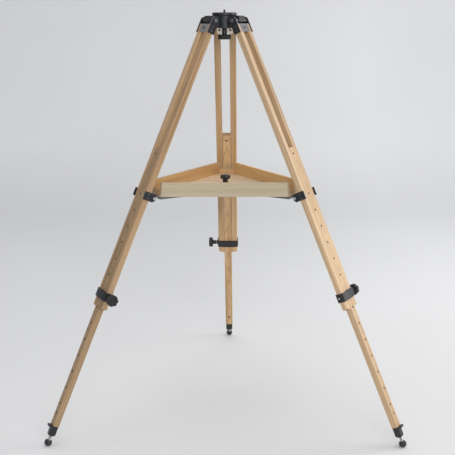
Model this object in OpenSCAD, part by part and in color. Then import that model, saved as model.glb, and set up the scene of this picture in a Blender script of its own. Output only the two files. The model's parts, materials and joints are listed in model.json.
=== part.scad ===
// Wooden field tripod: three two-section legs, a spreader tray and a screw head.
// Millimetres, +Z up. The origin is on the head's top face, on the stud's axis.
// The rear leg leans towards +Y, and the two front legs stand left and right of -Y.
// On a leg, "along" is the distance from the hinge axis down the leg, and "out" the
// distance from the leg's middle plane, away from the tripod's axis.

/* [Head] */
// Diameter of the round top plate
head_d = 71.5; // [64:0.5:84]
// Thickness of the round top plate
head_t = 9; // [7:0.5:10]
// Diameter of the fixing stud, 1/4 inch
stud_d = 6.35; // [5:0.05:12]
// Height of the fixing stud above the top plate
stud_l = 8; // [6:0.5:16]
// Radius at which the legs hinge
hinge_r = 49; // [46:0.5:56]
// Depth of the hinge axes below the top face
hinge_drop = 23; // [22:0.5:34]
// Diameter of the hinge bolts
hinge_bolt_d = 8; // [6:0.5:10]
// Radius of metal around a hinge bolt in the crown's ears
ear_r = 8.5; // [7:0.5:13]
// Width of the crown's ears
ear_w = 30; // [24:0.5:40]
// Radius of the crown's round body
crown_r = 30; // [28:0.5:34]
// Depth of the crown's underside below the top face
crown_drop = 44; // [42:0.5:54]
// Diameter of the clamping spindle
spindle_d = 15; // [13:0.5:18]
// Depth of the spindle knob's top below the top face
mount_knob_drop = 62; // [58:1:80]
// Diameter of the spindle knob
mount_knob_d = 39; // [30:1:46]
// Height of the spindle knob
mount_knob_h = 14; // [10:0.5:20]

/* [Legs] */
// Lean of each leg from the vertical, in degrees
leg_angle = 24.6; // [22:0.1:27]
// Width of a rail, across the leg
rail_w = 20; // [16:0.5:24]
// Depth of the rails and of the extension
rail_d = 18; // [15:0.5:22]
// Gap between the two rails of a leg
leg_gap = 26.5; // [21:0.5:30]
// Distance along the leg of the rails' upper ends
rail_top = 13; // [12:0.5:20]
// Distance along the leg of the rails' lower ends
rail_end = 885; // [870:1:930]
// Radius of the rails' rounded lower corners
rail_corner = 11; // [4:0.5:12]
// Rounding of the rails' outer edges
rail_round = 4; // [2:0.5:6]
// Rounding of the other wooden edges
wood_edge = 1.5; // [0.5:0.1:3]
// Height of the metal block at the top of a leg
block_h = 24.5; // [16:0.5:26]
// Thickness of the steel plates on a leg
plate_t = 3; // [2:0.5:4]
// Radius of the hinge plates' round upper ends
plate_r = 11; // [9.5:0.5:12]
// Distance along the leg of the hinge plates' lower ends
plate_end = 39; // [38:0.5:60]

/* [Extensions] */
// Distance along the leg of the extension's upper end
ext_top = 393; // [375:1:420]
// Length of the extension
ext_l = 869; // [850:1:900]
// Spacing of the height marks
mark_pitch = 50; // [40:1:60]
// Distance of the first height mark from the extension's upper end
mark_first = 142; // [100:1:180]
// Number of height marks
mark_count = 14; // [6:1:14]
// Diameter of a height mark
mark_d = 7; // [3:0.1:9]

/* [Clamps] */
// Distance of the clamp band's middle above the rails' lower ends
band_up = 39; // [36:0.5:60]
// Width of the clamp band
band_w = 25; // [18:0.5:28]
// Thickness of the clamp band
band_t = 2.5; // [2:0.1:4]
// Diameter of the clamp bolt
clamp_bolt_d = 6; // [5:0.5:8]
// Diameter of the clamp knob
clamp_knob_d = 33; // [26:0.5:38]
// Thickness of the clamp knob's disc
clamp_knob_t = 13.5; // [8:0.5:16]
// Length of the clamp knob's neck
clamp_neck_l = 12.5; // [6:0.5:16]

/* [Feet] */
// Length of the shoe's socket around the extension's tenon
shoe_socket = 10; // [8:0.5:16]
// Wall of the shoe's socket
shoe_wall = 3.5; // [2.5:0.1:5]
// Length of the shoe below the tenon
shoe_taper = 23.5; // [18:0.5:30]
// Radius of the shoe's round underside
shoe_round = 17; // [15.5:0.5:20]
// Diameter of the threaded foot stem
stem_d = 8; // [6:0.5:9]
// Bare length of the stem between the shoe and the foot
stem_bare = 12.5; // [8:0.5:24]
// Radius of the round rubber foot
foot_r = 11; // [9:0.5:15]

/* [Tray] */
// Distance from the tray's axis to its cut corners
tray_corner_r = 230; // [200:1:260]
// Width of the tray floor at a cut corner
tray_cut_w = 41.6; // [34:0.1:46]
// Gap between a cut corner and the eye around the tray pin
pin_gap = 15.75; // [10:0.25:24]
// Distance of the tray pins from the leg's middle plane, inwards
pin_in = 21.5; // [19:0.5:28]
// Diameter of the tray pins
pin_d = 6; // [5:0.5:8]
// Height of the bracket cheeks along the leg
cheek_h = 24.5; // [20:0.5:30]
// Reach of the bracket cheeks beyond the leg's outer face
cheek_out = 5; // [2:0.5:8]
// Height of the tray walls
wall_h = 41; // [30:1:50]
// Thickness of the tray walls
wall_t = 9; // [6:0.5:12]
// Thickness of the tray floor
floor_t = 5; // [4:0.5:8]
// Height of the corner lips above the floor
lip_h = 15; // [8:0.5:20]
// Thickness of the corner lips
lip_t = 6; // [4:0.5:8]
// Slant of the wall ends, in degrees
wall_slant = 5.5; // [2:0.5:16]
// Width of the spreader arms
arm_w = 20; // [14:0.5:24]
// Thickness of the spreader arms at their pins
arm_t = 4; // [3:0.5:5]
// Depth of the spreader arms under the tray
arm_deep = 12; // [8:0.5:16]
// Radius of the spreader hub
hub_r = 32; // [28:0.5:40]
// Thickness of the spreader hub
hub_t = 4; // [3:0.5:5]
// Diameter of the tray bolt
tray_bolt_d = 8; // [6:0.5:10]
// Height of the tray knob above the floor
tray_knob_h = 35; // [28:0.5:38]
// Radius of the tray knob over its lobes
tray_knob_r = 17; // [14:0.5:20]

/* [Hidden] */
$fn = 48;
SIDES = ["left", "right", "rear"];
LEG_AZ = [210, 330, 90];
WALL_AZ = [270, 30, 150];
LEG_PARTS = ["rail_knob_side", "rail_plain_side", "head_block", "hinge_plates", "tray_bracket",
    "tray_pin", "clamp_band", "leg_screws", "extension", "foot_shoe", "foot_stem", "rubber_foot",
    "clamp_knob", "arm"];

ASH = [0.86, 0.70, 0.50];
PLY = [0.87, 0.76, 0.58];
BLACK = [0.10, 0.10, 0.11];
SILVER = [0.75, 0.76, 0.78];
STEEL = [0.60, 0.61, 0.63];
RUBBER = [0.14, 0.14, 0.15];

// Clearances: a turning pin in its bore, a sliding fit, the extension between its rails,
// parts that pass each other, and an open jaw
run_gap = 0.05;
slide_gap = 0.3;
ext_gap = 0.4;
pass_gap = 0.3;
jaw_gap = 0.5;
over = 1;

leg_w = 2 * rail_w + leg_gap;
block_w = leg_gap + rail_w;
block_end = rail_top + block_h;
plate_x = leg_w / 2 + plate_t;
ext_w = leg_gap - 2 * ext_gap;
ext_end = ext_top + ext_l;
tenon_at = ext_end - shoe_socket;
hole_in = 19;
hole_up = 39;
hole_d = 7;
stop_hole_at = ext_top + hole_in;
low_hole_at = tenon_at - hole_up;
mark_depth = 3;
band_at = rail_end - band_up;

// Tray pins: they follow the tray's corners out along the leg
eye_r = pin_d / 2 + 3;
pin_r = tray_corner_r + pin_gap + eye_r;
pin_at = (pin_r - hinge_r + pin_in * cos(leg_angle)) / sin(leg_angle);
pin_z = -hinge_drop - pin_at * cos(leg_angle) - pin_in * sin(leg_angle);

// Screws: shank, head, and how deep each kind goes in from the outside of a steel plate
screw_d = 4;
screw_head_d = 7.2;
screw_head_h = 2;
plate_screw_l = plate_t + rail_w / 2 + 5;
plate_screws_at = [rail_top + block_h * 0.25, rail_top + block_h * 0.75];
bracket_screw_l = plate_t + rail_w * 0.6;
bracket_screws_at = [pin_at - cheek_h / 4, pin_at + cheek_h / 4];
block_screw_l = 6;
block_screw_x = block_w / 2 - screw_head_d;
block_screw_at = rail_top + block_h / 2;

// Hinge: the bolt's head and nut, and the bushes beside each ear
hinge_head_h = 4;
hinge_nut_h = 5;
hinge_head_r = hinge_bolt_d * 0.65;
bush_wall = 3;

// Spindle: its collar is held between the top plate and the crown
collar_r = spindle_d / 2 + 4;
collar_t = 3;
knob_core_d = spindle_d * 0.7;

// Clamp: the boss on the band, the bare stretch of the bolt and the knob's neck
boss_r = 8;
boss_l = 4;
bolt_bare = 2;
band_bulge = 2.5;
clamp_neck_d = 14;
clamp_flutes = 7;
boss_x = leg_w / 2 + band_t + boss_l;
neck_x = boss_x + bolt_bare;
disc_x = neck_x + clamp_neck_l;

// Foot: the stem runs from inside the shoe into the rubber
shoe_end = ext_end + shoe_taper;
stem_grip = shoe_taper - 6;
foot_at = shoe_end + stem_bare + foot_r * 0.64;
foot_cut = foot_r * 0.64;
stem_in_foot = foot_cut + 3;
shoe_step = 1.1;
shoe_proud = 0.4;
shoe_w = ext_w - 2 * shoe_step;
shoe_d = rail_d + 2 * shoe_proud;
tenon_w = shoe_w - 2 * shoe_wall;
tenon_d = shoe_d - 2 * shoe_wall;
shoe_corner = 4;
pedal_w = 20;
pedal_t = 4;
pedal_reach = 11;

// Tray: its height comes from the pins, and its plan from the cut corners
floor_z = pin_z + arm_t / 2;
floor_top = floor_z + floor_t;
hub_top = floor_z - arm_deep;
plan_r = (tray_corner_r + tray_cut_w * cos(30)) / 2;
pin_head_r = pin_d / 2 + 1.5;
pin_head_h = 1.5;
cheek_tip = pin_in + 4.5;
cheek_chamfer = 7;
arm_start = arm_w * 0.6;
arm_step = 7;
rivet_r = 2.5;
rivet_at = hub_r - 9;
rivet_head_h = 1.2;
lobe_r = 6;
lobe_h = 13;
tray_neck_r = 8;
tray_bolt_top = floor_top + tray_knob_h - 8;

function half_plan(r, reach) = (reach - r * sin(30)) / cos(30);

// Puts a leg's own frame (X across, Y out, Z up the leg, hinge at the origin) in its place.
module at_leg(az)
    rotate([0, 0, az - 90]) translate([0, hinge_r, -hinge_drop]) rotate([leg_angle, 0, 0]) children();

// Puts a corner's frame (Y along the corner's radius) in its place.
module at_corner(az)
    rotate([0, 0, az - 90]) children();

// A rectangle from x0 to x1 and y0 to y1 with round corners.
module round_rect(x0, x1, y0, y1, r) {
    translate([x0 + r, y0]) square([x1 - x0 - 2 * r, y1 - y0]);
    translate([x0, y0 + r]) square([x1 - x0, y1 - y0 - 2 * r]);
    for (x = [x0 + r, x1 - r])
        for (y = [y0 + r, y1 - r])
            translate([x, y]) circle(r);
}

// A bar along the leg between two distances from the hinge, with rounded long edges.
module leg_bar(x0, x1, depth, from, to, r)
    translate([0, 0, -to]) linear_extrude(to - from) round_rect(x0, x1, -depth / 2, depth / 2, r);

// A rail between two distances from the hinge: well rounded outside, less so beside the extension.
module rail_bar(from, to) {
    leg_bar(leg_gap / 2, leg_w / 2 - rail_round, rail_d, from, to, wood_edge);
    leg_bar(leg_gap / 2 + wood_edge, leg_w / 2, rail_d, from, to, rail_round);
}

// A plain block along the leg, centred across and in depth.
module leg_block(width, depth, from, to)
    translate([-width / 2, -depth / 2, -to]) cube([width, depth, to - from]);

// A cylinder across the leg, from x towards the leg's middle where inwards is true.
module cross_pin(x, out, along, r, length, inwards = true)
    translate([x, out, -along])
        rotate([0, (inwards == (x > 0)) ? -90 : 90, 0]) cylinder(r = r, h = length);

// The two rails' screw shanks or holes: every screw that goes in from the side of the leg.
module side_shanks(r, grow = 0)
    for (x = [-plate_x, plate_x]) {
        for (along = plate_screws_at)
            cross_pin(x, 0, along, r, plate_screw_l + grow);
        for (along = bracket_screws_at)
            cross_pin(x, 0, along, r, bracket_screw_l + grow);
    }

// The screws in the faces of the metal block: two inside and one outside.
module block_shanks(r, grow = 0) {
    for (x = [-block_screw_x, block_screw_x])
        translate([x, -rail_d / 2, -block_screw_at]) rotate([-90, 0, 0])
            cylinder(r = r, h = block_screw_l + grow);
    translate([0, rail_d / 2, -block_screw_at]) rotate([90, 0, 0])
        cylinder(r = r, h = block_screw_l + grow);
}

// Head

module head_plate()
    color(BLACK) difference() {
        rotate_extrude($fn = 96) polygon([[0, 0], [head_d / 2 - 1, 0], [head_d / 2, -1],
            [head_d / 2, -head_t + 2], [head_d / 2 - 2, -head_t], [0, -head_t]]);
        translate([0, 0, -head_t - over]) cylinder(d = spindle_d + 2 * run_gap, h = head_t + 2 * over);
    }

// What is cut away below an ear, seen from its side: round the hinge, then up to the body.
module ear_undercut()
    rotate([90, 0, 90]) linear_extrude(ear_w + 2 * over, center = true) polygon([
        [hinge_r + ear_r + over, -hinge_drop - ear_r * 0.3], [hinge_r + ear_r, -hinge_drop - ear_r * 0.3],
        [hinge_r + ear_r * 0.5, -hinge_drop - ear_r], [hinge_r - ear_r, -hinge_drop - ear_r],
        [crown_r, -crown_drop + over], [crown_r, -crown_drop - over],
        [hinge_r + ear_r + over, -crown_drop - over]]);

module head_crown()
    color(BLACK) difference() {
        translate([0, 0, -crown_drop]) linear_extrude(crown_drop - head_t) union() {
            circle(crown_r);
            for (az = LEG_AZ) rotate(az - 90) translate([-ear_w / 2, 0]) square([ear_w, hinge_r + ear_r]);
        }
        for (az = LEG_AZ) at_corner(az) ear_undercut();
        translate([0, 0, -crown_drop - over]) cylinder(d = spindle_d + 2 * run_gap, h = crown_drop + over);
        translate([0, 0, -head_t - collar_t - pass_gap])
            cylinder(r = collar_r + pass_gap, h = collar_t + over);
        for (az = LEG_AZ) at_corner(az) translate([0, hinge_r, -hinge_drop])
            rotate([0, 90, 0]) cylinder(d = hinge_bolt_d, h = ear_w + 2 * over, center = true);
    }

module hinge_bolts()
    color(STEEL) for (az = LEG_AZ) at_corner(az) translate([0, hinge_r, -hinge_drop]) rotate([0, 90, 0]) {
        translate([0, 0, -plate_x - pass_gap])
            cylinder(d = hinge_bolt_d, h = 2 * (plate_x + pass_gap) + hinge_nut_h);
        translate([0, 0, -plate_x - pass_gap - hinge_head_h]) cylinder(r = hinge_head_r, h = hinge_head_h);
    }

module hinge_nuts()
    color(STEEL) for (az = LEG_AZ) at_corner(az) translate([plate_x + pass_gap, hinge_r, -hinge_drop])
        rotate([0, 90, 0]) difference() {
            cylinder(r = hinge_head_r + 0.5, h = hinge_nut_h, $fn = 6);
            translate([0, 0, -over]) cylinder(d = hinge_bolt_d, h = hinge_nut_h + 2 * over);
        }

module hinge_bushes()
    color(SILVER) for (az = LEG_AZ) for (turn = [-90, 90]) at_corner(az)
        translate([0, hinge_r, -hinge_drop]) rotate([0, turn, 0]) translate([0, 0, ear_w / 2])
            difference() {
                cylinder(d = hinge_bolt_d + 2 * bush_wall, h = (leg_w - ear_w) / 2 - pass_gap);
                translate([0, 0, -over]) cylinder(d = hinge_bolt_d, h = leg_w);
            }

module mount_screw()
    color(SILVER) {
        translate([0, 0, -over]) cylinder(d = stud_d, h = stud_l + over);
        translate([0, 0, -mount_knob_drop]) cylinder(d = spindle_d, h = mount_knob_drop);
        translate([0, 0, -head_t - collar_t]) cylinder(r = collar_r, h = collar_t - pass_gap);
        translate([0, 0, -mount_knob_drop - mount_knob_h + 2]) cylinder(d = knob_core_d, h = mount_knob_h);
    }

module mount_knob() {
    flutes = 12;
    rim = 3;
    color(BLACK) translate([0, 0, -mount_knob_drop - mount_knob_h]) difference() {
        rotate_extrude($fn = 96) polygon([[0, 0], [mount_knob_d / 2 - rim, 0], [mount_knob_d / 2, rim],
            [mount_knob_d / 2, mount_knob_h - rim], [mount_knob_d / 2 - rim, mount_knob_h],
            [0, mount_knob_h]]);
        translate([0, 0, 2]) cylinder(d = knob_core_d, h = mount_knob_h);
        for (i = [0 : flutes - 1]) rotate([0, 0, i * 360 / flutes])
            translate([mount_knob_d / 2 + 1, 0, -over]) cylinder(r = 2, h = mount_knob_h + 2 * over);
    }
}

// Legs

module rail(side)
    color(ASH) difference() {
        mirror([side < 0 ? 1 : 0, 0, 0]) difference() {
            rail_bar(rail_top, rail_end);
            translate([leg_w / 2 - rail_corner, 0, -rail_end + rail_corner]) rotate([90, 0, 0])
                linear_extrude(2 * rail_d, center = true) difference() {
                    translate([0, -rail_corner - over]) square(rail_corner + over);
                    circle(rail_corner);
                }
        }
        leg_block(block_w, 2 * rail_d, rail_top - over, block_end);
        side_shanks(screw_d / 2);
    }

module head_block()
    color(SILVER) difference() {
        leg_block(block_w, rail_d, rail_top, block_end);
        side_shanks(screw_d / 2);
        block_shanks(screw_d / 2);
    }

module hinge_plates()
    color(BLACK) difference() {
        for (x = [-plate_x, leg_w / 2]) translate([x, 0, 0]) rotate([90, 0, 90]) linear_extrude(plate_t)
            difference() {
                union() {
                    circle(plate_r);
                    translate([-plate_r, -plate_end]) square([2 * plate_r, plate_end]);
                }
                circle(d = hinge_bolt_d + 2 * run_gap);
            }
        side_shanks(screw_d / 2);
    }

module tray_bracket()
    color(BLACK) difference() {
        for (x = [-plate_x, leg_w / 2]) translate([x, 0, -pin_at]) rotate([90, 0, 90])
            linear_extrude(plate_t) difference() {
                polygon([[rail_d / 2 + cheek_out, -cheek_h / 2], [rail_d / 2 + cheek_out, cheek_h / 2],
                    [-cheek_tip + cheek_chamfer, cheek_h / 2], [-cheek_tip, cheek_h / 2 - cheek_chamfer],
                    [-cheek_tip, -cheek_h / 2 + cheek_chamfer], [-cheek_tip + cheek_chamfer, -cheek_h / 2]]);
                translate([-pin_in, 0]) circle(d = pin_d);
            }
        side_shanks(screw_d / 2);
    }

module tray_pin()
    color(STEEL) {
        cross_pin(-plate_x, -pin_in, pin_at, pin_d / 2, 2 * plate_x);
        for (x = [-plate_x, plate_x]) cross_pin(x, -pin_in, pin_at, pin_head_r, pin_head_h, false);
    }

module clamp_band()
    color(BLACK) difference() {
        union() {
            translate([0, 0, -band_at - band_w / 2]) linear_extrude(band_w) band_plan();
            cross_pin(-leg_w / 2 - band_t / 2, 0, band_at, boss_r, boss_l + band_t / 2, false);
        }
        leg_block(leg_w, rail_d + 2 * slide_gap, band_at - band_w, band_at + band_w);
        cross_pin(-boss_x - over, 0, band_at, clamp_bolt_d / 2 + run_gap, boss_l + band_t + 2 * over);
    }

// The band seen along the leg: flat ends, and broad sides that swell a little.
module band_plan() {
    half_w = leg_w / 2 + band_t;
    half_d = rail_d / 2 + slide_gap + band_t;
    swell_r = (half_w * half_w + band_bulge * band_bulge) / (2 * band_bulge);
    round_rect(-half_w, half_w, -half_d, half_d, 2);
    for (flip = [0, 1]) mirror([0, flip]) intersection() {
        translate([0, half_d + band_bulge - swell_r]) circle(swell_r, $fn = 256);
        translate([-half_w + 2, 0]) square([2 * half_w - 4, half_d + band_bulge + over]);
    }
}

module leg_screws()
    color(STEEL) {
        side_shanks(screw_d / 2);
        block_shanks(screw_d / 2);
        for (x = [-plate_x, plate_x]) for (along = concat(plate_screws_at, bracket_screws_at))
            cross_pin(x, 0, along, screw_head_d / 2, screw_head_h, false);
        for (x = [-block_screw_x, block_screw_x]) translate([x, -rail_d / 2, -block_screw_at])
            rotate([90, 0, 0]) cylinder(d = screw_head_d, h = screw_head_h);
        translate([0, rail_d / 2, -block_screw_at]) rotate([-90, 0, 0])
            cylinder(d = screw_head_d, h = screw_head_h);
    }

module clamp_knob()
    color(BLACK) difference() {
        union() {
            cross_pin(-leg_w / 2 - pass_gap, 0, band_at, clamp_bolt_d / 2, neck_x - leg_w / 2, false);
            cross_pin(-neck_x, 0, band_at, clamp_neck_d / 2, clamp_neck_l + over, false);
            cross_pin(-disc_x, 0, band_at, clamp_knob_d / 2, clamp_knob_t, false);
        }
        for (i = [0 : clamp_flutes - 1]) translate([-disc_x - clamp_knob_t - over, 0, -band_at])
            rotate([0, 90, 0]) rotate([0, 0, i * 360 / clamp_flutes])
                translate([clamp_knob_d / 2 + 2.5, 0, 0]) cylinder(r = 4.5, h = clamp_knob_t + over + 0.5);
    }

// Extensions and feet

module extension()
    color(ASH) difference() {
        union() {
            leg_bar(-ext_w / 2, ext_w / 2, rail_d, ext_top, tenon_at, wood_edge);
            leg_block(tenon_w, tenon_d, tenon_at - over, ext_end);
        }
        for (i = [0 : mark_count - 1])
            translate([0, rail_d / 2 + over, -ext_top - mark_first - i * mark_pitch])
                rotate([90, 0, 0]) cylinder(d = mark_d, h = mark_depth + over);
        for (along = [stop_hole_at, low_hole_at]) translate([0, 0, -along]) rotate([90, 0, 0])
            cylinder(d = hole_d, h = rail_d + 2 * over, center = true);
    }

module foot_shoe()
    color(BLACK) difference() {
        union() {
            intersection() {
                leg_bar(-shoe_w / 2, shoe_w / 2, shoe_d, tenon_at, shoe_end + over, shoe_corner);
                union() {
                    leg_block(2 * shoe_w, 2 * shoe_w, tenon_at - over, shoe_end - shoe_round);
                    translate([0, 0, -shoe_end + shoe_round]) sphere(shoe_round, $fn = 64);
                }
            }
            translate([0, 0, -tenon_at - pedal_t]) linear_extrude(pedal_t)
                round_rect(-pedal_w / 2, pedal_w / 2, 0, shoe_d / 2 + pedal_reach, 5);
        }
        leg_block(tenon_w, tenon_d, tenon_at - over, ext_end);
        translate([0, 0, -shoe_end - over]) cylinder(d = stem_d, h = stem_grip + over);
    }

module foot_stem()
    color(SILVER) translate([0, 0, -foot_at + foot_cut - stem_in_foot])
        cylinder(d = stem_d, h = foot_at - foot_cut + stem_in_foot - shoe_end + stem_grip);

module rubber_foot()
    color(RUBBER) translate([0, 0, -foot_at]) difference() {
        sphere(foot_r, $fn = 64);
        translate([-2 * foot_r, -2 * foot_r, foot_cut]) cube(4 * foot_r);
        translate([0, 0, foot_cut - stem_in_foot])
            cylinder(d = stem_d, h = 2 * foot_r);
    }

// Tray and spreader

// Trims what reaches past the tray's slanted corner cuts.
module corner_cuts()
    for (az = LEG_AZ) at_corner(az) translate([0, tray_corner_r, floor_z]) rotate([wall_slant, 0, 0])
        translate([-tray_corner_r, 0, -wall_h]) cube([2 * tray_corner_r, tray_corner_r, 3 * wall_h]);

module tray_floor()
    color(PLY) difference() {
        translate([0, 0, floor_z]) linear_extrude(floor_t) polygon([for (az = WALL_AZ) for (end = [-1, 1])
            plan_r * [cos(az), sin(az)] + end * half_plan(plan_r, tray_corner_r) * [-sin(az), cos(az)]]);
        corner_cuts();
        translate([0, 0, floor_z - over]) cylinder(d = tray_bolt_d + 2 * slide_gap, h = floor_t + 2 * over);
    }

module tray_wall(az)
    color(PLY) difference() {
        at_corner(az) translate([-tray_corner_r, plan_r, floor_z]) cube([2 * tray_corner_r, wall_t, wall_h]);
        corner_cuts();
    }

module tray_lips()
    color(PLY) difference() {
        for (az = LEG_AZ) at_corner(az) translate([0, 0, floor_top]) linear_extrude(lip_h)
            polygon([for (edge = [[-1, lip_t], [1, lip_t], [1, 0], [-1, 0]])
                [edge[0] * half_plan(tray_corner_r - edge[1], plan_r), tray_corner_r - edge[1]]]);
        corner_cuts();
    }

module spreader_hub()
    color(SILVER) difference() {
        translate([0, 0, hub_top - hub_t]) cylinder(r = hub_r, h = hub_t);
        translate([0, 0, hub_top - hub_t - over])
            cylinder(d = tray_bolt_d + 2 * run_gap, h = hub_t + 2 * over);
        rivet_shanks();
    }

module rivet_shanks()
    for (az = LEG_AZ) at_corner(az) translate([0, rivet_at, hub_top - hub_t])
        cylinder(r = rivet_r, h = hub_t + arm_deep);

module arm_rivets()
    color(STEEL) {
        rivet_shanks();
        for (az = LEG_AZ) at_corner(az) translate([0, rivet_at, hub_top - hub_t - rivet_head_h])
            cylinder(r = rivet_r + 1.5, h = rivet_head_h);
    }

// An arm from the hub to its pin, deep under the tray.
// The front arms end in jaws, open up the slope of the leg.
module arm(az, open_jaw)
    color(SILVER) difference() {
        at_corner(az) {
            translate([-arm_w / 2, arm_start, floor_z - arm_t]) cube([arm_w, pin_r - arm_start, arm_t]);
            translate([-arm_w / 2, arm_start, floor_z - arm_deep])
                cube([arm_w, tray_corner_r - arm_step - arm_start, arm_deep]);
            translate([0, pin_r, pin_z]) rotate([0, 90, 0]) cylinder(r = eye_r, h = arm_w, center = true);
        }
        at_corner(az) translate([0, pin_r, pin_z]) {
            rotate([0, 90, 0])
                cylinder(r = pin_d / 2 + (open_jaw ? jaw_gap : run_gap), h = arm_w + 2 * over,
                    center = true);
            if (open_jaw)
                rotate([leg_angle, 0, 0]) translate([-arm_w, -pin_d / 2 - jaw_gap, 0])
                    cube([2 * arm_w, pin_d + 2 * jaw_gap, 3 * eye_r]);
        }
        rivet_shanks();
    }

module tray_bolt()
    color(STEEL) translate([0, 0, hub_top - hub_t])
        cylinder(d = tray_bolt_d, h = tray_bolt_top - hub_top + hub_t);

module tray_knob()
    color(BLACK) difference() {
        union() {
            translate([0, 0, floor_top + pass_gap]) cylinder(r = tray_neck_r, h = tray_knob_h - 2 - pass_gap);
            translate([0, 0, floor_top + tray_knob_h - lobe_h]) {
                for (az = LEG_AZ) at_corner(az + 60) {
                    translate([0, tray_knob_r - lobe_r, 0]) cylinder(r = lobe_r, h = lobe_h - 2);
                    translate([-lobe_r, 0, 0]) cube([2 * lobe_r, tray_knob_r - lobe_r, lobe_h - 2]);
                }
                cylinder(r1 = tray_neck_r + 2, r2 = tray_neck_r - 1, h = lobe_h);
            }
        }
        translate([0, 0, floor_top - over]) cylinder(d = tray_bolt_d, h = tray_bolt_top - floor_top + over);
    }

head_plate();
head_crown();
hinge_bolts();
hinge_nuts();
hinge_bushes();
mount_screw();
mount_knob();
tray_floor();
tray_wall(WALL_AZ[0]);  // tray_front_wall
tray_wall(WALL_AZ[1]);  // tray_right_wall
tray_wall(WALL_AZ[2]);  // tray_left_wall
tray_lips();
spreader_hub();
arm_rivets();
tray_bolt();
tray_knob();
for (i = [0 : 2]) {
    at_leg(LEG_AZ[i]) rail(-1);
    at_leg(LEG_AZ[i]) rail(1);
    at_leg(LEG_AZ[i]) head_block();
    at_leg(LEG_AZ[i]) hinge_plates();
    at_leg(LEG_AZ[i]) tray_bracket();
    at_leg(LEG_AZ[i]) tray_pin();
    at_leg(LEG_AZ[i]) clamp_band();
    at_leg(LEG_AZ[i]) leg_screws();
    at_leg(LEG_AZ[i]) extension();
    at_leg(LEG_AZ[i]) foot_shoe();
    at_leg(LEG_AZ[i]) foot_stem();
    at_leg(LEG_AZ[i]) rubber_foot();
    at_leg(LEG_AZ[i]) clamp_knob();
    arm(LEG_AZ[i], SIDES[i] != "rear");
}
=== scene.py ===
import json
import math

import bmesh
import bpy
from mathutils import Matrix, Vector


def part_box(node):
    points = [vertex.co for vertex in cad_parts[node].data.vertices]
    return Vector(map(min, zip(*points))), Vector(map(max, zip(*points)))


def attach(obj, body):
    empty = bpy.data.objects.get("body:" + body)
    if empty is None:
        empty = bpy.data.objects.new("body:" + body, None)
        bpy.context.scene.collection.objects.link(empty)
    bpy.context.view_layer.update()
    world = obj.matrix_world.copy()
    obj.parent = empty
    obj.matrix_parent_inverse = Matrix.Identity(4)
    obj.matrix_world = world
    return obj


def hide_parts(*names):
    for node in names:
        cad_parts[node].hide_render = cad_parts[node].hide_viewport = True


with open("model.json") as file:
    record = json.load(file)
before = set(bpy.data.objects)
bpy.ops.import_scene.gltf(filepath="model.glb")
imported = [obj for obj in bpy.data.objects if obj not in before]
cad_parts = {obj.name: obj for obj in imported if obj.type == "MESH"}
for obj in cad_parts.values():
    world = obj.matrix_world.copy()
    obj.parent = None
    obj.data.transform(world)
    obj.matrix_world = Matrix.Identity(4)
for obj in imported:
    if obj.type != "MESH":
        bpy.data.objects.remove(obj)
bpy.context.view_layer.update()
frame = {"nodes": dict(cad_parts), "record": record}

SIDES = {"left": 210, "right": 330, "rear": 90}
WALLS = {"front": 270, "right": 30, "left": 150}
LEG_ANGLE = 24.6
HINGE_R, HINGE_DROP = 0.049, 0.023
FLOOR_Z = -1.2207
MM = 0.001

# Places on a leg in millimetres: x across it, n out of its face, s down along it from the hinge
RAIL_FACE = 9
PLATE_X = 36.25
PLATE_SCREWS = (19.125, 31.375, 527.886, 540.136)
BLOCK_SCREW_X, BLOCK_SCREW_S = 16.05, 25.25
CLAMP_SEAT_X, CLAMP_S = -33.55, 846
BAND_X, BAND_SCREW_N, BAND_FACE = 35.75, -4.0, -14.3
MARK_FIRST, MARK_STEP, MARK_COUNT, MARK_R = 535, 50, 14, 3.45
HOLES = (412, 1213)
STEM_LOW, STEM_HIGH = -1308.04, -1268.0
BALL_R, BALL_Z, BALL_NECK = 11, -1305.04, -1298.0

# Threads in millimetres: their two ends, and their pitch and depth
STUD_ENDS, STUD_THREAD = (0.0, 7.3), (1.27, 0.55)
BOLT_ENDS, BOLT_THREAD = (0.4, 12.4), (1.0, 0.35)
STEM_ENDS, STEM_THREAD = (-1307.2, -1268.6), (1.25, 0.55)

# The two places along a leg, in metres, between which the tone of its rails is graded as painted shade
PAINTED_SHADE_SPAN = (-0.9, -0.05)


def turn(degrees, axis):
    return Matrix.Rotation(math.radians(degrees), 4, axis)


def leg_frame(side):
    return turn(SIDES[side] - 90, "Z") @ Matrix.Translation((0, HINGE_R, -HINGE_DROP)) @ turn(LEG_ANGLE, "X")


def corner_frame(az):
    return turn(az - 90, "Z")


# Materials

def rgb(r, g, b):
    def one(c):
        c /= 255
        return c / 12.92 if c <= 0.04045 else ((c + 0.055) / 1.055) ** 2.4
    return (one(r), one(g), one(b), 1.0)


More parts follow.
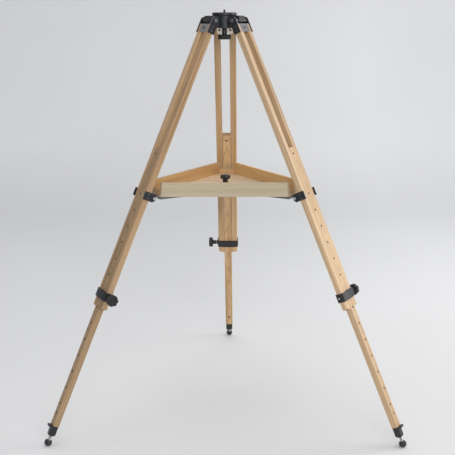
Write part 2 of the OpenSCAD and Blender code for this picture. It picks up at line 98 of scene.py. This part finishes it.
class Graph:
    def __init__(self, name, home=None):
        self.home = home or Matrix.Identity(4)
        self.material = bpy.data.materials.new(name)
        self.material.use_nodes = True
        self.tree = self.material.node_tree
        self.tree.nodes.clear()
        out = self.tree.nodes.new("ShaderNodeOutputMaterial")
        self.bsdf = self.tree.nodes.new("ShaderNodeBsdfPrincipled")
        self.tree.links.new(self.bsdf.outputs[0], out.inputs[0])
        self.material.diffuse_color = (0.5, 0.5, 0.5, 1)

    def put(self, socket, value):
        if hasattr(value, "is_linked"):
            self.tree.links.new(value, socket)
        else:
            socket.default_value = value

    # Coordinates in the frame of the piece's own board or bar, stretched, turned and shifted.
    def coords(self, scale, offset=(0, 0, 0), turned=(0, 0, 0)):
        source = self.tree.nodes.new("ShaderNodeTexCoord")
        inverse = self.home.inverted()
        placed = self.tree.nodes.new("ShaderNodeMapping")
        self.tree.links.new(source.outputs["Object"], placed.inputs["Vector"])
        placed.inputs["Rotation"].default_value = inverse.to_euler()
        placed.inputs["Location"].default_value = inverse.translation
        mapping = self.tree.nodes.new("ShaderNodeMapping")
        self.tree.links.new(placed.outputs[0], mapping.inputs["Vector"])
        mapping.inputs["Scale"].default_value = scale
        mapping.inputs["Location"].default_value = offset
        mapping.inputs["Rotation"].default_value = [math.radians(a) for a in turned]
        return mapping.outputs[0]

    def noise(self, vector, scale=1.0, detail=3.0, rough=0.5, distortion=0.0):
        n = self.tree.nodes.new("ShaderNodeTexNoise")
        self.put(n.inputs["Vector"], vector)
        n.inputs["Scale"].default_value = scale
        n.inputs["Detail"].default_value = detail
        n.inputs["Roughness"].default_value = rough
        n.inputs["Distortion"].default_value = distortion
        return n.outputs["Fac"]

    def wave(self, vector, scale, distortion, detail=2.0, direction="X"):
        n = self.tree.nodes.new("ShaderNodeTexWave")
        n.bands_direction = direction
        self.put(n.inputs["Vector"], vector)
        n.inputs["Scale"].default_value = scale
        n.inputs["Distortion"].default_value = distortion
        n.inputs["Detail"].default_value = detail
        n.inputs["Detail Scale"].default_value = 1.2
        return n.outputs["Fac"]

    # Growth rings cut by the board's faces: a far-off pith, leaning a little to the board's length.
    def rings(self, vector, scale, distortion, detail_scale, direction):
        n = self.tree.nodes.new("ShaderNodeTexWave")
        n.wave_type = "RINGS"
        n.rings_direction = direction
        n.wave_profile = "SAW"
        self.put(n.inputs["Vector"], vector)
        n.inputs["Scale"].default_value = scale
        n.inputs["Distortion"].default_value = distortion
        n.inputs["Detail"].default_value = 3.0
        n.inputs["Detail Scale"].default_value = detail_scale
        return n.outputs["Fac"]

    # A value that changes evenly between two places on an axis.
    def grade(self, vector, axis, ends, values):
        parts = self.tree.nodes.new("ShaderNodeSeparateXYZ")
        self.put(parts.inputs[0], vector)
        n = self.tree.nodes.new("ShaderNodeMapRange")
        self.put(n.inputs["Value"], parts.outputs[axis])
        n.inputs["From Min"].default_value, n.inputs["From Max"].default_value = ends
        n.inputs["To Min"].default_value, n.inputs["To Max"].default_value = values
        return n.outputs[0]

    def ramp(self, fac, *stops):
        n = self.tree.nodes.new("ShaderNodeValToRGB")
        self.put(n.inputs[0], fac)
        points = n.color_ramp.elements
        while len(points) < len(stops):
            points.new(0.5)
        for point, (at, colour) in zip(points, stops):
            point.position = at
            point.color = colour if isinstance(colour, tuple) else (colour, colour, colour, 1)
        return n.outputs[0]

    def mix(self, fac, a, b, mode="MIX"):
        n = self.tree.nodes.new("ShaderNodeMix")
        n.data_type = "RGBA"
        n.blend_type = mode
        self.put(n.inputs[0], fac)
        self.put(n.inputs[6], a)
        self.put(n.inputs[7], b)
        return n.outputs[2]

    def bump(self, height, distance, strength=1.0):
        n = self.tree.nodes.new("ShaderNodeBump")
        n.inputs["Strength"].default_value = strength
        n.inputs["Distance"].default_value = distance
        self.put(n.inputs["Height"], height)
        self.tree.links.new(n.outputs[0], self.bsdf.inputs["Normal"])

    def set(self, **values):
        for key, value in values.items():
            self.put(self.bsdf.inputs[key.replace("_", " ")], value)
        return self.material


def along(axis, across, lengthwise):
    return tuple(lengthwise if i == axis else across for i in range(3))


# Wood with its grain along an axis of its home frame. The seed shifts the grain, line is the strength of the
# ring lines, and ply_axis is the direction in which plywood is layered.
def wood(name, axis, pale, mid, deep, seed, line=1.0, ply_axis=None, home=None, lean=(14, 0, 0),
         pith=(0.012, 0.06, 0), ring=95, stretch=0.045, streak=0.0, warp=(3.0, 0.5), grade=None):
    g = Graph(name, home)
    shift = (seed * 1.37, seed * 2.11, seed * 0.73)
    broad = g.noise(g.coords(along(axis, 38, 1.6), shift), 1.0, 3.0, 0.55, 0.4)
    rings = g.rings(g.coords(along(axis, 1.0, stretch), pith, lean), ring, *warp, "XYZ"[axis])
    fibre = g.noise(g.coords(along(axis, 620, 14), shift), 1.0, 4.0, 0.65)
    pores = g.noise(g.coords(along(axis, 1500, 45), shift), 1.0, 2.0, 0.5)
    body = g.ramp(broad, (0.30, deep), (0.52, mid), (0.74, pale))
    lines = g.ramp(rings, (0.0, 0.66), (0.18, 0.95), (0.60, 1.0), (0.84, 0.92), (1.0, 0.62))
    colour = g.mix(0.75 * line, body, lines, "MULTIPLY")
    colour = g.mix(0.55, colour, g.ramp(fibre, (0.28, 0.80), (0.55, 1.0), (0.8, 1.06)), "MULTIPLY")
    colour = g.mix(0.35, colour, g.ramp(pores, (0.30, 0.62), (0.42, 1.0)), "MULTIPLY")
    if streak:
        bands = g.noise(g.coords(along(axis, 190, 1.1), shift), 1.0, 2.0, 0.5)
        colour = g.mix(streak, colour, g.ramp(bands, (0.34, 0.70), (0.48, 0.98), (0.70, 1.08)), "MULTIPLY")
    # A tone graded along the board's length: painted shade and light
    if grade:
        colour = g.mix(1.0, colour, g.grade(g.coords((1, 1, 1)), axis, PAINTED_SHADE_SPAN, grade), "MULTIPLY")
    if ply_axis is not None:
        layers = g.wave(g.coords(along(ply_axis, 3.0, 1.0), shift), 210, 0.25, 1.0, "XYZ"[ply_axis])
        colour = g.mix(0.30, colour, g.ramp(layers, (0.30, 0.66), (0.62, 1.0)), "MULTIPLY")
    g.bump(fibre, 0.00012, 0.45)
    return g.set(Base_Color=colour, Roughness=g.ramp(fibre, (0.2, 0.52), (0.8, 0.40)),
                 Coat_Weight=0.12, Coat_Roughness=0.35)


def black_metal(name, base, rough, grain=0.00006):
    g = Graph(name)
    fine = g.noise(g.coords((900, 900, 900)), 1.0, 3.0, 0.6)
    broad = g.noise(g.coords((35, 35, 35), (2.1, 0.4, 1.3)), 1.0, 4.0, 0.6)
    lift = tuple(c * 1.7 + 0.004 for c in base[:3]) + (1.0,)
    g.bump(fine, grain, 0.5)
    return g.set(Base_Color=g.ramp(broad, (0.35, base), (0.72, lift)),
                 Roughness=g.ramp(broad, (0.3, rough - 0.05), (0.7, rough + 0.08)),
                 Specular_IOR_Level=0.55)


def metal(name, base, rough, axis=None, home=None):
    g = Graph(name, home)
    stretch = (700, 700, 700) if axis is None else along(axis, 1400, 18)
    brush = g.noise(g.coords(stretch, (1.7, 3.1, 0.6)), 1.0, 4.0, 0.6)
    dull = tuple(c * 0.80 for c in base[:3]) + (1.0,)
    g.bump(brush, 0.00003, 0.35)
    return g.set(Base_Color=g.ramp(brush, (0.25, dull), (0.70, base)), Metallic=1.0,
                 Roughness=g.ramp(brush, (0.25, rough + 0.10), (0.75, rough - 0.03)))


def moulded(name, base, rough, scale, depth):
    g = Graph(name)
    fine = g.noise(g.coords((scale, scale, scale)), 1.0, 2.0, 0.5)
    broad = g.noise(g.coords((60, 60, 60), (0.3, 1.9, 2.2)), 1.0, 3.0, 0.6)
    lift = tuple(c * 1.5 + 0.003 for c in base[:3]) + (1.0,)
    g.bump(fine, depth, 0.6)
    return g.set(Base_Color=g.ramp(broad, (0.35, base), (0.75, lift)),
                 Roughness=g.ramp(fine, (0.3, rough - 0.06), (0.7, rough + 0.06)))


def shade(colour, factor):
    return tuple(c * factor for c in colour[:3]) + (1.0,)


# Pale, middle and deep tone of each leg's ash, the left leg's darker and the right leg's paler as painted
# shade and light; the grade of its rails from foot to head, painted shade that darkens the left leg towards
# its foot and the right and rear legs towards their heads; and each rail's own shift of grain and tone
TONES = {"left": (rgb(217, 183, 141), rgb(201, 164, 121), rgb(174, 133, 89)),
         "right": (rgb(233, 201, 162), rgb(221, 186, 144), rgb(198, 158, 114)),
         "rear": (rgb(228, 195, 152), rgb(214, 176, 130), rgb(187, 146, 99))}
PAINTED_SHADE_GRADES = {"left": (0.90, 1.0), "right": (1.02, 0.80), "rear": (1.18, 0.84)}
RAILS = {"_rail_knob_side": (0.0, 0.96), "_rail_plain_side": (0.37, 1.06)}
ASH = {side + rail: wood("ash_" + side + rail, 2, *[shade(c, tone) for c in TONES[side]], seed + extra,
                         home=leg_frame(side), pith=(0.02 + 0.001 * seed, 0.05 + 0.02 * extra, 0),
                         ring=46, streak=0.8, grade=PAINTED_SHADE_GRADES[side])
       for seed, side in ((1, "left"), (4, "right"), (7, "rear"))
       for rail, (extra, tone) in RAILS.items()}
# Each leg's extension in its own tone: the left one much darker and the right a little darker as painted
# shade, the rear one lighter as painted light
EXT_TONE = {"left": 0.76, "right": 0.92, "rear": 1.22}
ASH_EXT = {side: wood("ash_extension_" + side, 2, *[shade(c, EXT_TONE[side]) for c in TONES[side]], seed,
                      home=leg_frame(side), lean=(45, 0, 0),
                      pith=(0.002 * (seed - 14), 0.008 * (seed - 14) - 0.068, 0),
                      ring=140, stretch=0.05, streak=0.6, warp=(5.0, 1.2))
           for seed, side in ((13, "left"), (15, "right"), (14, "rear"))}
PLY = {"front": wood("birch_front", 0, rgb(222, 206, 178), rgb(213, 196, 166), rgb(200, 182, 150), 21,
                     0.45, 1, corner_frame(WALLS["front"]), (0, 0, 20), (0, 0.05, 0.01))}
# The side walls' plywood: the right wall's paler as painted light, the left wall's darker as painted shade
SIDE_PLY = {"right": (24, rgb(255, 224, 166), rgb(250, 210, 148), rgb(230, 182, 118)),
            "left": (25, rgb(208, 172, 118), rgb(194, 153, 100), rgb(170, 127, 76))}
PLY.update({side: wood("birch_" + side, 0, *tones, seed, 0.7, 1, corner_frame(WALLS[side]), (0, 0, 24),
                       (0, 0.05, 0.012))
            for side, (seed, *tones) in SIDE_PLY.items()})
# The tray floor's plywood paler than the walls': painted light on its upward face
PLY_FLOOR = wood("birch_floor", 0, rgb(242, 216, 184), rgb(234, 206, 172), rgb(220, 188, 152), 27,
                 0.55, 2, None, (0, 20, 0), (0, 0.01, 0.06))
PLY_LIP = wood("birch_lip", 0, rgb(228, 192, 144), rgb(216, 177, 126), rgb(194, 152, 102), 29,
               0.55, 2, None, (0, 20, 0), (0, 0.01, 0.06))
END_GRAIN = {side: wood("end_grain_" + side, 2, rgb(176, 134, 88), rgb(158, 116, 72), rgb(134, 94, 54), 31,
                        0.6, home=leg_frame(side)) for side in SIDES}
# Dark brown for the discs in the holes: painted shade
HOLE_SHADE_PAINT = black_metal("painted_hole_shade", rgb(44, 31, 20), 0.75)
# Near-black metal for the band's inner screw: painted shade
SCREW_SHADE_PAINT = black_metal("painted_screw_shade", rgb(15, 13, 13), 0.6)
HEAD_BLACK = black_metal("head_satin_black", rgb(26, 28, 32), 0.40)
BAND_BLACK = black_metal("band_black", rgb(24, 25, 28), 0.46)
STEEL_BLACK = black_metal("painted_black_steel", rgb(22, 23, 26), 0.36)
SCREW_DARK = metal("blackened_screws", rgb(96, 96, 100), 0.36)
BRIGHT = metal("bright_steel", rgb(205, 205, 207), 0.24)
SPINDLE = metal("dark_spindle", rgb(74, 75, 79), 0.34)
# Bright metal on the rims of the black plates and brackets: a painted highlight
RIM_HIGHLIGHT = metal("rim_painted_highlight", rgb(172, 174, 178), 0.32)
BOLT = metal("hinge_bolt_steel", rgb(136, 137, 141), 0.34)
# The same cast block in a tone for each leg: the right one darker as painted shade, the rear one near white
# as a painted reflection
BLOCK_TONES = {"left": rgb(176, 176, 178), "right": rgb(140, 138, 140), "rear": rgb(240, 234, 226)}
BLOCK = {side: metal("cast_block_" + side, tone, 0.46) for side, tone in BLOCK_TONES.items()}
BUSH = metal("dull_bush", rgb(112, 113, 116), 0.42)
ALLOY = metal("brushed_alloy", rgb(206, 208, 212), 0.34, 2)
ALLOY_BAR = {side: metal("brushed_bar_" + side, rgb(132, 130, 127), 0.34, 1, corner_frame(az))
             for side, az in SIDES.items()}
PLASTIC = moulded("black_plastic", rgb(20, 20, 23), 0.42, 1600, 0.00004)
RUBBER = moulded("black_rubber", rgb(32, 32, 35), 0.34, 700, 0.00005)


# Pieces

def add(name, mesh, body, material, home=None, replaces=None):
    piece = bpy.data.objects.new(name, mesh)
    bpy.context.scene.collection.objects.link(piece)
    mesh.materials.clear()
    mesh.materials.append(material)
    if home is not None:
        mesh.transform(home)
    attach(piece, body)
    if replaces:
        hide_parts(replaces)
    return piece


def soften(mesh, degrees=38):
    mesh.shade_smooth()
    mesh.set_sharp_from_angle(angle=math.radians(degrees))


def body_of(node):
    return next(b for b, nodes in frame["record"]["behaviour"]["bodies"].items() if node in nodes)


# A copy of a CAD node's own shape with its hard edges broken.
# Faces along or across the given direction can take a second material, for end grain and for bright
# rims, a painted highlight.
def dress(node, material, edge=0.6, steps=2, degrees=40, along=None, across=None, second=None):
    mesh = frame["nodes"][node].data.copy()
    mesh.name = "broken_" + node
    bm = bmesh.new()
    bm.from_mesh(mesh)
    bmesh.ops.remove_doubles(bm, verts=bm.verts, dist=2e-6)
    bmesh.ops.dissolve_limit(bm, angle_limit=math.radians(0.4), verts=bm.verts, edges=bm.edges)
    bm.to_mesh(mesh)
    bm.free()
    piece = add("dressed_" + node, mesh, body_of(node), material, None, node)
    if second:
        mesh.materials.append(second)
        for face in mesh.polygons:
            end = along and abs(face.normal.dot(along)) > 0.8
            rim = across and abs(face.normal.dot(across)) < 0.3
            if end or rim:
                face.material_index = 1
    soften(mesh, degrees)
    if edge:
        bevel = piece.modifiers.new("edges", "BEVEL")
        bevel.width = edge * MM
        bevel.segments = steps
        bevel.limit_method = "ANGLE"
        bevel.angle_limit = math.radians(degrees)
        bevel.use_clamp_overlap = True
        normals = piece.modifiers.new("normals", "WEIGHTED_NORMAL")
        normals.keep_sharp = True
    return piece


# A turned shape: (radius, height) pairs in millimetres, with an optional radius rule by angle.
# Flat ends close it, or as a ring its last pair joins its first.
def lathe(profile, segments=64, rule=None, ring=False):
    bm = bmesh.new()
    rings = []
    for r, z in profile:
        circle = []
        for i in range(segments):
            a = 2 * math.pi * i / segments
            radius = rule(r, z, a) if rule else r
            circle.append(bm.verts.new((radius * MM * math.cos(a), radius * MM * math.sin(a), z * MM)))
        rings.append(circle)
    for low, high in zip(rings, rings[1:] + rings[:1] if ring else rings[1:]):
        for i in range(segments):
            j = (i + 1) % segments
            bm.faces.new((low[i], low[j], high[j], high[i]))
    if not ring:
        bm.faces.new(rings[0][::-1])
        bm.faces.new(rings[-1])
    bmesh.ops.recalc_face_normals(bm, faces=bm.faces)
    mesh = bpy.data.meshes.new("turned")
    bm.to_mesh(mesh)
    bm.free()
    return mesh


# A screw thread as a turned shape whose radius follows a helix.
def thread_rule(low, high, pitch, depth):
    def rule(r, z, a):
        if not low <= z <= high:
            return r
        phase = (z / pitch - a / (2 * math.pi)) % 1.0
        return r - depth * abs(2 * phase - 1)
    return rule


# Even steps from low to high, each about the given size.
def steps(low, high, size):
    count = max(2, int(round((high - low) / size)))
    return [low + (high - low) * i / count for i in range(count + 1)]


# One mesh out of several, each at its own place.
def join(meshes):
    bm = bmesh.new()
    for mesh, place in meshes:
        part = mesh.copy()
        part.transform(place)
        bm.from_mesh(part)
        bpy.data.meshes.remove(part)
    joined = bpy.data.meshes.new("joined")
    bm.to_mesh(joined)
    bm.free()
    return joined


# A pan-head screw with a cross recess, its head up along +Z from the plate's face at zero.
def cross_screw(head_r, head_h, shank_r, shank_l):
    mesh = lathe([(shank_r * 0.4, -shank_l), (shank_r, -shank_l + 1), (shank_r, 0), (head_r, 0),
                  (head_r, head_h * 0.35), (head_r * 0.93, head_h * 0.66), (head_r * 0.72, head_h * 0.9),
                  (head_r * 0.4, head_h), (0.05, head_h)], 32)
    screw = bpy.data.objects.new("screw", mesh)
    bm = bmesh.new()
    for turned in (0, 90):
        place = turn(turned, "Z") @ Matrix.Translation((0, 0, head_h * MM))
        bmesh.ops.create_cube(bm, size=1.0, matrix=place @ Matrix.Diagonal(
            (head_r * 1.15 * MM, head_r * 0.26 * MM, head_h * 1.1 * MM, 1)))
    cutter_mesh = bpy.data.meshes.new("recess")
    bm.to_mesh(cutter_mesh)
    bm.free()
    cutter = bpy.data.objects.new("recess", cutter_mesh)
    for o in (screw, cutter):
        bpy.context.scene.collection.objects.link(o)
    cut = screw.modifiers.new("recess", "BOOLEAN")
    cut.operation = "DIFFERENCE"
    cut.object = cutter
    cut.solver = "EXACT"
    cut.use_self = True
    bpy.context.view_layer.update()
    shaped = bpy.data.meshes.new_from_object(screw.evaluated_get(bpy.context.evaluated_depsgraph_get()))
    for o in (screw, cutter):
        bpy.data.objects.remove(o)
    return shaped


# Head

dress("head_plate", HEAD_BLACK, edge=0.5, steps=3)
dress("head_crown", HEAD_BLACK, edge=1.6, steps=3)
dress("hinge_bolts", BOLT, edge=0.9, steps=3)
dress("hinge_nuts", BOLT, edge=0.5)
dress("hinge_bushes", BUSH, edge=0.4)

spindle = lathe([(5.25, -74.0), (5.25, -62.0), (7.5, -62.0), (7.5, -12.0), (11.4, -12.0), (11.4, -9.4),
                 (7.5, -9.4), (7.5, -0.35), (7.2, 0.0)]
                + [(3.175, z) for z in steps(*STUD_ENDS, 0.212)] + [(2.6, 8.0)], 48,
                thread_rule(*STUD_ENDS, *STUD_THREAD))
soften(spindle)
add("fixing_screw", spindle, "mount_screw", SPINDLE, None, "mount_screw")


# A radius rule that cuts flutes around a knob between two heights.
def fluted(count, depth, low, high, sharp=2.0):
    def rule(r, z, a):
        if low <= z <= high:
            return r - depth * (0.5 + 0.5 * math.cos(count * a)) ** sharp * min(1.0, r / 15)
        return r
    return rule


knob = lathe([(5.25, -76.0), (16.0, -76.0), (17.6, -75.5), (18.8, -74.4), (19.4, -72.8), (19.4, -65.2),
              (18.8, -63.6), (17.6, -62.5), (16.0, -62.0), (11.0, -61.9), (5.25, -62.0)],
             144, fluted(24, 0.9, -75.6, -62.4, 1.5), True)
soften(knob, 50)
add("fixing_knob", knob, "mount_screw", PLASTIC, None, "mount_knob")

# Legs

SCREW = cross_screw(3.6, 2.0, 2.0, 14)
SHORT_SCREW = cross_screw(3.6, 2.0, 2.0, 6)
BAND_SCREW = cross_screw(3.0, 1.6, 1.6, 2.0)


AWAY = {"+x": turn(90, "Y"), "-x": turn(-90, "Y"), "+n": turn(-90, "X"), "-n": turn(90, "X")}


# A place on a leg, with +Z turned to face out of it.
def facing(direction, x, n, s):
    return Matrix.Translation((x * MM, n * MM, -s * MM)) @ AWAY[direction]


def clamp_knob_mesh():
    def rule(r, z, a):
        return fluted(7, 2.1, 21.1, 34.2, 4.0)(r, z, a) if r > 9 else r
    mesh = lathe([(2.4, 8.2), (6.2, 8.2), (7.0, 8.9), (7.0, 16.0), (7.5, 18.4), (8.8, 20.4), (13.0, 20.8),
                  (15.4, 21.2), (16.4, 22.1), (16.75, 23.6), (16.75, 31.0), (16.3, 32.8), (15.0, 33.9),
                  (12.5, 34.2), (9.0, 34.0), (7.2, 33.6), (6.6, 32.8), (5.8, 32.8), (5.2, 33.5), (3.0, 33.9),
                  (0.2, 34.0)], 112, rule)
    soften(mesh, 44)
    return mesh


CLAMP_BOLT = lathe([(2.6, 0.0)] + [(3.0, z) for z in steps(*BOLT_ENDS, 0.2)] + [(2.4, 12.6)], 32,
                   thread_rule(*BOLT_ENDS, *BOLT_THREAD))
soften(CLAMP_BOLT)
WASHER = lathe([(3.15, 6.3), (7.2, 6.3), (7.4, 6.6), (7.4, 7.3), (7.0, 7.7), (3.15, 7.7)], 48, None, True)
soften(WASHER)
CLAMP_KNOB = clamp_knob_mesh()
# A dark plug in the stop holes: painted shade
STOP_HOLE_PLUG_SHADE = lathe([(MARK_R, -4.0), (MARK_R, -0.5), (3.0, -0.7), (0.1, -0.7)], 24)

for side in SIDES:
    home = leg_frame(side)
    leg, ext, turning = "leg_" + side, "extension_" + side, "clamp_knob_" + side
    sideways, lengthwise = home.col[0].xyz, home.col[2].xyz
    for rail in RAILS:
        dress(side + rail, ASH[side + rail], edge=0.5, along=lengthwise, second=END_GRAIN[side])
    dress(side + "_head_block", BLOCK[side], edge=0.7)
    dress(side + "_hinge_plates", STEEL_BLACK, edge=0.7, across=sideways, second=RIM_HIGHLIGHT)
    dress(side + "_tray_bracket", STEEL_BLACK, edge=0.8, across=sideways, second=RIM_HIGHLIGHT)
    dress(side + "_tray_pin", BRIGHT, edge=0.6)
    dress(side + "_clamp_band", BAND_BLACK, edge=0.6)
    dress(side + "_extension", ASH_EXT[side], edge=0.4, along=lengthwise, second=END_GRAIN[side])
    dress(side + "_foot_shoe", STEEL_BLACK, edge=1.0, steps=3)

    screws = [(SCREW, facing("+x", PLATE_X, 0, s)) for s in PLATE_SCREWS]
    screws += [(SCREW, facing("-x", -PLATE_X, 0, s)) for s in PLATE_SCREWS]
    screws += [(SHORT_SCREW, facing("-n", x, -RAIL_FACE, BLOCK_SCREW_S))
               for x in (-BLOCK_SCREW_X, BLOCK_SCREW_X)]
    screws += [(SHORT_SCREW, facing("+n", 0, RAIL_FACE, BLOCK_SCREW_S))]
    heads = join(screws)
    soften(heads, 35)
    add(side + "_cross_screws", heads, leg, SCREW_DARK, home, side + "_leg_screws")

    # The band's side screw in bright steel and its inner screw near black, as painted shade
    for name, face, x, n, material in (("_band_screw", "+x", BAND_X, BAND_SCREW_N, BRIGHT),
                                       ("_band_shaded_screw", "-n", 0, BAND_FACE, SCREW_SHADE_PAINT)):
        band = join([(BAND_SCREW, facing(face, x, n, CLAMP_S))])
        soften(band, 35)
        add(side + name, band, leg, material, home)

    clamp = CLAMP_KNOB.copy()
    clamp.transform(facing("-x", CLAMP_SEAT_X, 0, CLAMP_S))
    add(side + "_clamp_handle", clamp, turning, PLASTIC, home, side + "_clamp_knob")
    for name, mesh, body in (("_clamp_bolt", CLAMP_BOLT, turning), ("_clamp_washer", WASHER, leg)):
        part = mesh.copy()
        part.transform(facing("-x", CLAMP_SEAT_X, 0, CLAMP_S))
        add(side + name, part, body, BRIGHT, home)

    # Dark discs a little below the surface in the height holes and in the stop holes: painted shade in the
    # holes.
    dot = lathe([(MARK_R, -2.9), (MARK_R, -0.3), (3.0, -0.45), (0.1, -0.45)], 24)
    dots = [(dot, facing("+n", 0, RAIL_FACE, MARK_FIRST + MARK_STEP * i)) for i in range(MARK_COUNT)]
    dots += [(STOP_HOLE_PLUG_SHADE, facing(face, 0, n, s))
             for face, n in (("+n", RAIL_FACE), ("-n", -RAIL_FACE)) for s in HOLES]
    dots = join(dots)
    soften(dots, 40)
    add(side + "_hole_shade_discs", dots, ext, HOLE_SHADE_PAINT, home)

    stem = lathe([(3.2, STEM_LOW)] + [(4.0, z) for z in steps(*STEM_ENDS, 0.22)] + [(3.2, STEM_HIGH)], 32,
                 thread_rule(*STEM_ENDS, *STEM_THREAD))
    soften(stem)
    add(side + "_threaded_stem", stem, ext, BRIGHT, home, side + "_foot_stem")

    ball = [(0.2, BALL_Z - BALL_R)]
    ball += [(BALL_R * math.sin(math.radians(a)), BALL_Z - BALL_R * math.cos(math.radians(a)))
             for a in range(6, 127, 6)]
    ball += [(8.1, BALL_NECK - 0.3), (7.2, BALL_NECK), (4.0, BALL_NECK)]
    foot = lathe(ball, 64)
    soften(foot, 50)
    add(side + "_ball_foot", foot, ext, RUBBER, home, side + "_rubber_foot")

# Tray

dress("tray_floor", PLY_FLOOR, edge=0.4)
dress("tray_lips", PLY_LIP, edge=0.7)
for side in WALLS:
    dress("tray_" + side + "_wall", PLY[side], edge=0.9)
dress("spreader_hub", ALLOY, edge=0.6)
dress("arm_rivets", BRIGHT, edge=0.5)
for side in SIDES:
    dress(side + "_arm", ALLOY_BAR[side], edge=0.6)
dress("tray_bolt", BRIGHT, edge=0.3)

FLOOR_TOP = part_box("tray_floor")[1].z / MM


# The tray knob's radius rule: three lobes, deeper towards the rim.
def lobed(r, z, a):
    weight = min(1.0, max(0.0, (r - 9) / 8))
    return r - weight * 7.2 * (0.5 - 0.5 * math.cos(3 * (a + math.pi / 2))) ** 0.8


star = lathe([(4.0, 0.3), (7.4, 0.3), (8.0, 0.9), (8.0, 17.5), (8.6, 20.0), (10.5, 21.6), (15.0, 22.1),
              (16.5, 23.2), (17.0, 24.8), (17.0, 30.0), (16.4, 31.8), (15.0, 32.9), (12.0, 33.3), (8.5, 34.2),
              (5.0, 34.9), (0.2, 35.0)], 120, lobed)
star.transform(Matrix.Translation((0, 0, FLOOR_TOP * MM)))
soften(star, 50)
add("tray_star_knob", star, "tray_knob", PLASTIC, None, "tray_knob")

# Floor and backdrop: paper that lies flat, sweeps up and stands as a wall. For camera and glossy rays it
# glows, more up the wall than on the floor and, to the right, more towards the back: painted light.

FLAT_TO, SWEEP_R, WALL_TOP = 2.8, 1.6, 6.0
NEAR_EDGE, HALF_WIDTH = -7.0, 7.0

g = Graph("studio_paper")
path = g.tree.nodes.new("ShaderNodeLightPath")
seen = g.tree.nodes.new("ShaderNodeMath")
seen.operation = "ADD"
seen.use_clamp = True
g.put(seen.inputs[0], path.outputs["Is Camera Ray"])
g.put(seen.inputs[1], path.outputs["Is Glossy Ray"])
glow = g.tree.nodes.new("ShaderNodeMath")
glow.operation = "MULTIPLY"
g.put(glow.inputs[0], seen.outputs[0])
here = g.coords((1, 1, 1))
# The paper's glow graded across, along and up it: painted light
painted_glow = g.tree.nodes.new("ShaderNodeMath")
painted_glow.operation = "MULTIPLY_ADD"
g.put(painted_glow.inputs[0], g.grade(here, 1, (-0.2, 1.4), (-0.05, 0.085)))
g.put(painted_glow.inputs[1], g.grade(here, 0, (-0.2, 1.0), (0.0, 1.0)))
g.put(painted_glow.inputs[2], g.grade(here, 2, (FLOOR_Z, FLOOR_Z + 0.3), (0.11, 0.165)))
g.put(glow.inputs[1], painted_glow.outputs[0])
cloud = g.noise(g.coords((1.2, 1.2, 1.2)), 1.0, 2.0, 0.5)
g.set(Base_Color=g.ramp(cloud, (0.3, rgb(213, 213, 214)), (0.7, rgb(216, 216, 217))), Roughness=0.9,
      Specular_IOR_Level=0.1, Emission_Color=(0.98, 0.99, 1.0, 1), Emission_Strength=glow.outputs[0])
bm = bmesh.new()
profile = [(NEAR_EDGE, 0.0), (FLAT_TO, 0.0)]
profile += [(FLAT_TO + SWEEP_R * math.sin(math.radians(a)), SWEEP_R - SWEEP_R * math.cos(math.radians(a)))
            for a in range(6, 91, 6)]
profile += [(FLAT_TO + SWEEP_R, WALL_TOP)]
rows = [[bm.verts.new((x, y, FLOOR_Z + z)) for x in (-HALF_WIDTH, HALF_WIDTH)] for y, z in profile]
for low, high in zip(rows, rows[1:]):
    bm.faces.new((low[0], low[1], high[1], high[0]))
paper = bpy.data.meshes.new("studio_paper")
bm.to_mesh(paper)
bm.free()
paper.shade_smooth()
paper.materials.append(g.material)
backdrop = bpy.data.objects.new("studio_floor", paper)
bpy.context.scene.collection.objects.link(backdrop)

# Light and camera. The sky is dimmer on the left.

SKY_LEFT, SKY_RIGHT = 0.27, 0.60

scene = bpy.context.scene
scene.view_settings.view_transform = "Standard"
world = bpy.data.worlds.new("studio")
scene.world = world
world.use_nodes = True
sky = world.node_tree.nodes["Background"]
sky.inputs[0].default_value = (0.95, 0.97, 1.0, 1)
where = world.node_tree.nodes.new("ShaderNodeTexCoord")
parts = world.node_tree.nodes.new("ShaderNodeSeparateXYZ")
level = world.node_tree.nodes.new("ShaderNodeMapRange")
level.inputs["From Min"].default_value = -1.0
level.inputs["From Max"].default_value = 1.0
level.inputs["To Min"].default_value = SKY_LEFT
level.inputs["To Max"].default_value = SKY_RIGHT
world.node_tree.links.new(where.outputs["Generated"], parts.inputs[0])
world.node_tree.links.new(parts.outputs["X"], level.inputs["Value"])
world.node_tree.links.new(level.outputs[0], sky.inputs[1])


def softbox(name, at, aim, size, power, colour=(1, 1, 1)):
    lamp = bpy.data.lights.new(name, "AREA")
    lamp.shape = "RECTANGLE"
    lamp.size, lamp.size_y = size
    lamp.energy = power
    lamp.color = colour
    o = bpy.data.objects.new(name, lamp)
    scene.collection.objects.link(o)
    o.location = at
    o.rotation_euler = (Vector(aim) - Vector(at)).to_track_quat("-Z", "Y").to_euler()


softbox("key", (3.0, 0.3, 0.4), (0.1, -0.1, -0.8), (1.6, 2.0), 40, (1.0, 0.98, 0.95))
softbox("front", (0.9, -3.7, 0.9), (0, 0, -0.7), (2.6, 2.0), 62)
softbox("top", (0.0, 0.4, 4.0), (0, 0, -0.7), (3.4, 3.4), 80)

# The camera's place in metres, its angles, and its focal length in pixels of a square picture
EYE = (0.0512, -2.4768, -0.0347)
YAW, PITCH, ROLL = math.radians(-1.053), math.radians(-13.745), math.radians(-0.300)
FOCAL, PICTURE, SENSOR = 828.6, 455, 36
ahead = Vector((math.sin(YAW) * math.cos(PITCH), math.cos(YAW) * math.cos(PITCH), math.sin(PITCH)))
side_on = Vector((math.cos(YAW), -math.sin(YAW), 0))
upright = side_on.cross(ahead)
right = math.cos(ROLL) * side_on + math.sin(ROLL) * upright
up = -math.sin(ROLL) * side_on + math.cos(ROLL) * upright
lens = bpy.data.cameras.new("camera")
lens.sensor_fit = "HORIZONTAL"
lens.sensor_width = SENSOR
lens.lens = SENSOR * FOCAL / PICTURE
lens.clip_end = 40
camera = bpy.data.objects.new("camera", lens)
scene.collection.objects.link(camera)
camera.matrix_world = Matrix.Translation(EYE) @ Matrix((right, up, -ahead)).transposed().to_4x4()
scene.camera = camera
